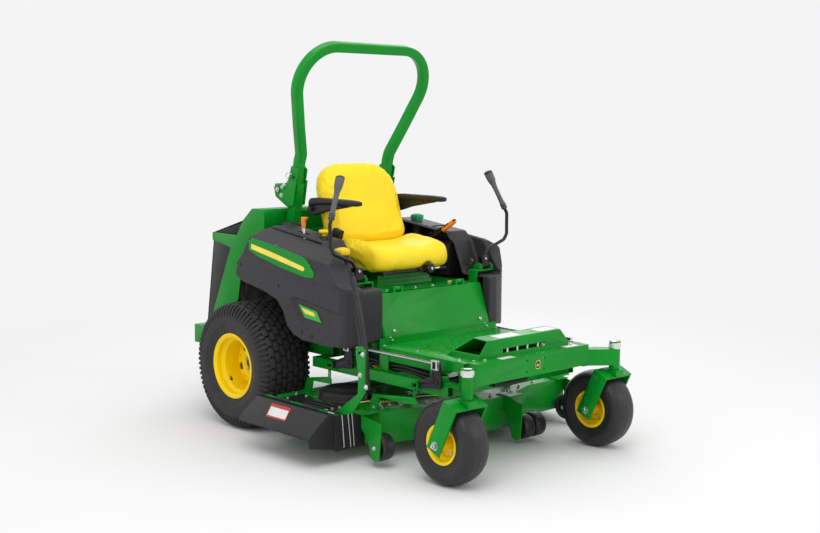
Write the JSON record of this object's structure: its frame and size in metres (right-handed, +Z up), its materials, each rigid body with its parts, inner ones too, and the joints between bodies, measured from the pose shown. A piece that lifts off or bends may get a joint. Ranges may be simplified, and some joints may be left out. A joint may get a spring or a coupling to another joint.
{
  "type": "zero turn mower",
  "caption": "Ride-on lawn mower with twin lever steering, front casters, big rear drive tyres, a belly deck with side discharge, a sprung seat and a folding roll bar.",
  "frame": {"origin": "middle of the machine's footprint, on the ground", "axes": "+Z up, -Y the way the machine drives forwards, +X the operator's left"},
  "size_m": [1.72, 2.3329, 2.0054],
  "materials": {
    "green_paint": "satin powder coat",
    "dark_shell": "textured moulded shell",
    "black_paint": "satin black",
    "black_plastic": "matt",
    "yellow_paint": "gloss",
    "yellow_vinyl": "smooth vinyl",
    "yellow_plastic": "gloss",
    "tyre_rubber": "matt",
    "belt_rubber": "matt",
    "grey_grip": "matt",
    "zinc_steel": "zinc plated",
    "cast_grey": "as cast",
    "blade_steel": "ground",
    "teal_plastic": "gloss",
    "orange_plastic": "gloss"
  },
  "bodies": {
    "chassis": {"main_frame": "green_paint", "front_beam": "green_paint", "floor_plate": "green_paint", "kick_panel": "green_paint", "fender_right": "dark_shell", "fender_left": "dark_shell", "rops_posts": "green_paint", "rear_guard": "green_paint", "rear_screens": "black_paint", "radiator": "cast_grey", "engine": "cast_grey", "hydraulic_drives": "cast_grey", "fuel_tank": "black_plastic", "fasteners": "zinc_steel", "seat_platform": "green_paint"},
    "hoop": {"rops_hoop": "green_paint"},
    "fan": {"radiator_fan": "black_plastic"},
    "cap": {"fuel_cap": "teal_plastic"},
    "seat": {"seat_pan": "black_paint", "seat_cushion": "yellow_vinyl", "seat_back": "yellow_vinyl"},
    "arm_right": {"armrest_right": "black_plastic"},
    "arm_left": {"armrest_left": "black_plastic"},
    "drive_wheel_right": {"drive_tyre_right": "tyre_rubber", "drive_rim_right": "yellow_paint"},
    "drive_wheel_left": {"drive_tyre_left": "tyre_rubber", "drive_rim_left": "yellow_paint"},
    "fork_right": {"caster_fork_right": "green_paint"},
    "fork_left": {"caster_fork_left": "green_paint"},
    "caster_wheel_right": {"caster_tyre_right": "tyre_rubber", "caster_rim_right": "yellow_paint"},
    "caster_wheel_left": {"caster_tyre_left": "tyre_rubber", "caster_rim_left": "yellow_paint"},
    "yoke_right": {"lever_yoke_right": "black_paint"},
    "yoke_left": {"lever_yoke_left": "black_paint"},
    "stick_right": {"control_lever_right": "black_paint", "lever_grip_right": "grey_grip"},
    "stick_left": {"control_lever_left": "black_paint", "lever_grip_left": "grey_grip"},
    "deck": {"deck_shell": "green_paint", "belt_covers": "black_plastic", "spindle_housings": "cast_grey", "deck_brackets": "green_paint", "drive_belt": "belt_rubber"},
    "deflector": {"chute_deflector": "black_plastic"},
    "cutter_right": {"blade_right": "blade_steel"},
    "cutter_centre": {"blade_centre": "blade_steel"},
    "cutter_left": {"blade_left": "blade_steel"},
    "roller_right": {"antiscalp_wheel_right": "black_plastic"},
    "roller_centre": {"antiscalp_wheels_centre": "black_plastic"},
    "roller_left": {"antiscalp_wheel_left": "black_plastic"},
    "crank_front": {"lift_crank_front": "black_paint"},
    "crank_rear": {"lift_crank_rear": "black_paint"},
    "rod": {"lift_rod": "zinc_steel"},
    "chute_handle": {"chute_lever": "black_paint"},
    "brake": {"brake_lever": "orange_plastic"},
    "throttle": {"throttle_lever": "orange_plastic"},
    "dial": {"height_dial": "yellow_plastic"},
    "pto": {"pto_knob": "yellow_plastic"}
  },
  "joints": [
    {"name": "drive_wheel_right_spin", "type": "hinge", "parent": "chassis", "child": "drive_wheel_right", "pos_m": [-0.5225, 0.4975, 0.33], "axis": [1, 0, 0], "continuous": true},
    {"name": "caster_right_swivel", "type": "hinge", "parent": "chassis", "child": "fork_right", "pos_m": [-0.515, -1.0745, 0.45], "axis": [0, 0, 1], "continuous": true},
    {"name": "caster_wheel_right_spin", "type": "hinge", "parent": "fork_right", "child": "caster_wheel_right", "pos_m": [-0.515, -0.9765, 0.19], "axis": [1, 0, 0], "continuous": true},
    {"name": "steering_right_pitch", "type": "hinge", "parent": "chassis", "child": "yoke_right", "pos_m": [-0.44, -0.2475, 0.838], "axis": [1, 0, 0], "range_deg": [-8, 18]},
    {"name": "steering_right_swing", "type": "hinge", "parent": "yoke_right", "child": "stick_right", "pos_m": [-0.44, -0.2475, 0.88], "axis": [0, 1, 0], "range_deg": [0, 32]},
    {"name": "armrest_right_fold", "type": "hinge", "parent": "seat", "child": "arm_right", "pos_m": [-0.295, 0.2655, 1.146], "axis": [-1, 0, 0], "range_deg": [0, 55]},
    {"name": "drive_wheel_left_spin", "type": "hinge", "parent": "chassis", "child": "drive_wheel_left", "pos_m": [0.5225, 0.4975, 0.33], "axis": [1, 0, 0], "continuous": true},
    {"name": "caster_left_swivel", "type": "hinge", "parent": "chassis", "child": "fork_left", "pos_m": [0.515, -1.0745, 0.45], "axis": [0, 0, 1], "continuous": true},
    {"name": "caster_wheel_left_spin", "type": "hinge", "parent": "fork_left", "child": "caster_wheel_left", "pos_m": [0.515, -0.9765, 0.19], "axis": [1, 0, 0], "continuous": true},
    {"name": "steering_left_pitch", "type": "hinge", "parent": "chassis", "child": "yoke_left", "pos_m": [0.44, -0.2475, 0.838], "axis": [1, 0, 0], "range_deg": [-8, 18]},
    {"name": "steering_left_swing", "type": "hinge", "parent": "yoke_left", "child": "stick_left", "pos_m": [0.44, -0.2475, 0.88], "axis": [0, -1, 0], "range_deg": [0, 32]},
    {"name": "armrest_left_fold", "type": "hinge", "parent": "seat", "child": "arm_left", "pos_m": [0.295, 0.2655, 1.146], "axis": [-1, 0, 0], "range_deg": [0, 55]},
    {"name": "roll_bar_fold", "type": "hinge", "parent": "chassis", "child": "hoop", "pos_m": [0, 0.4975, 1.237], "axis": [-1, 0, 0], "range_deg": [0, 110]},
    {"name": "radiator_fan_spin", "type": "hinge", "parent": "chassis", "child": "fan", "pos_m": [0, 0.8735, 0.71], "axis": [0, 1, 0], "continuous": true},
    {"name": "fuel_cap_turn", "type": "hinge", "parent": "chassis", "child": "cap", "pos_m": [0.43, 0.2565, 1.07], "axis": [0, 0, 1], "range_deg": [-120, 0]},
    {"name": "seat_slide", "type": "slide", "parent": "chassis", "child": "seat", "axis": [0, 1, 0], "range_m": [-0.06, 0.06]},
    {"name": "deck_lift", "type": "slide", "parent": "chassis", "child": "deck", "axis": [0, 0, 1], "range_m": [0, 0.076]},
    {"name": "lift_crank_front_turn", "type": "hinge", "parent": "chassis", "child": "crank_front", "pos_m": [0, -0.8205, 0.426], "axis": [1, 0, 0], "range_deg": [0, 33.2]},
    {"name": "lift_crank_rear_turn", "type": "hinge", "parent": "chassis", "child": "crank_rear", "pos_m": [0, -0.2025, 0.426], "axis": [1, 0, 0], "range_deg": [0, 33.2]},
    {"name": "lift_rod_slide", "type": "slide", "parent": "chassis", "child": "rod", "axis": [0, -1, 0], "range_m": [0, 0.06]},
    {"name": "deflector_flip", "type": "hinge", "parent": "deck", "child": "deflector", "pos_m": [-0.704, -0.1225, 0.244], "axis": [0, 1, 0], "range_deg": [0, 75]},
    {"name": "blade_centre_spin", "type": "hinge", "parent": "deck", "child": "cutter_centre", "pos_m": [0.08, -0.3575, 0.15], "axis": [0, 0, 1], "continuous": true},
    {"name": "blade_right_spin", "type": "hinge", "parent": "deck", "child": "cutter_right", "pos_m": [-0.41, -0.1425, 0.15], "axis": [0, 0, 1], "continuous": true},
    {"name": "blade_left_spin", "type": "hinge", "parent": "deck", "child": "cutter_left", "pos_m": [0.57, -0.1425, 0.15], "axis": [0, 0, 1], "continuous": true},
    {"name": "roller_right_spin", "type": "hinge", "parent": "deck", "child": "roller_right", "pos_m": [-0.559, -0.5625, 0.095], "axis": [1, 0, 0], "continuous": true},
    {"name": "roller_centre_spin", "type": "hinge", "parent": "deck", "child": "roller_centre", "pos_m": [0.294, -0.7125, 0.086], "axis": [1, 0, 0], "continuous": true},
    {"name": "roller_left_spin", "type": "hinge", "parent": "deck", "child": "roller_left", "pos_m": [0.735, -0.6025, 0.095], "axis": [1, 0, 0], "continuous": true},
    {"name": "chute_lever_turn", "type": "hinge", "parent": "deck", "child": "chute_handle", "pos_m": [-0.639, -0.5205, 0.44], "axis": [1, 0, 0], "range_deg": [-12, 12]},
    {"name": "brake_turn", "type": "hinge", "parent": "chassis", "child": "brake", "pos_m": [0.347, 0.0575, 0.985], "axis": [1, 0, 0], "range_deg": [-35, 0]},
    {"name": "throttle_turn", "type": "hinge", "parent": "chassis", "child": "throttle", "pos_m": [-0.46, 0.1425, 1], "axis": [1, 0, 0], "range_deg": [-16, 16]},
    {"name": "height_dial_turn", "type": "hinge", "parent": "chassis", "child": "dial", "pos_m": [-0.45, -0.1485, 0.96], "axis": [0, 0, 1], "range_deg": [-150, 150]},
    {"name": "pto_pull", "type": "slide", "parent": "chassis", "child": "pto", "axis": [0, 0, 1], "range_m": [0, 0.015]}
  ],
  "couplings": [
    {"joint": "lift_crank_front_turn", "follows": "deck_lift", "rad_per_m": 7.5784},
    {"joint": "lift_crank_rear_turn", "follows": "deck_lift", "rad_per_m": 7.5784},
    {"joint": "lift_rod_slide", "follows": "deck_lift", "ratio": 0.63158},
    {"joint": "blade_right_spin", "follows": "blade_centre_spin", "ratio": 1},
    {"joint": "blade_left_spin", "follows": "blade_centre_spin", "ratio": 1}
  ]
}
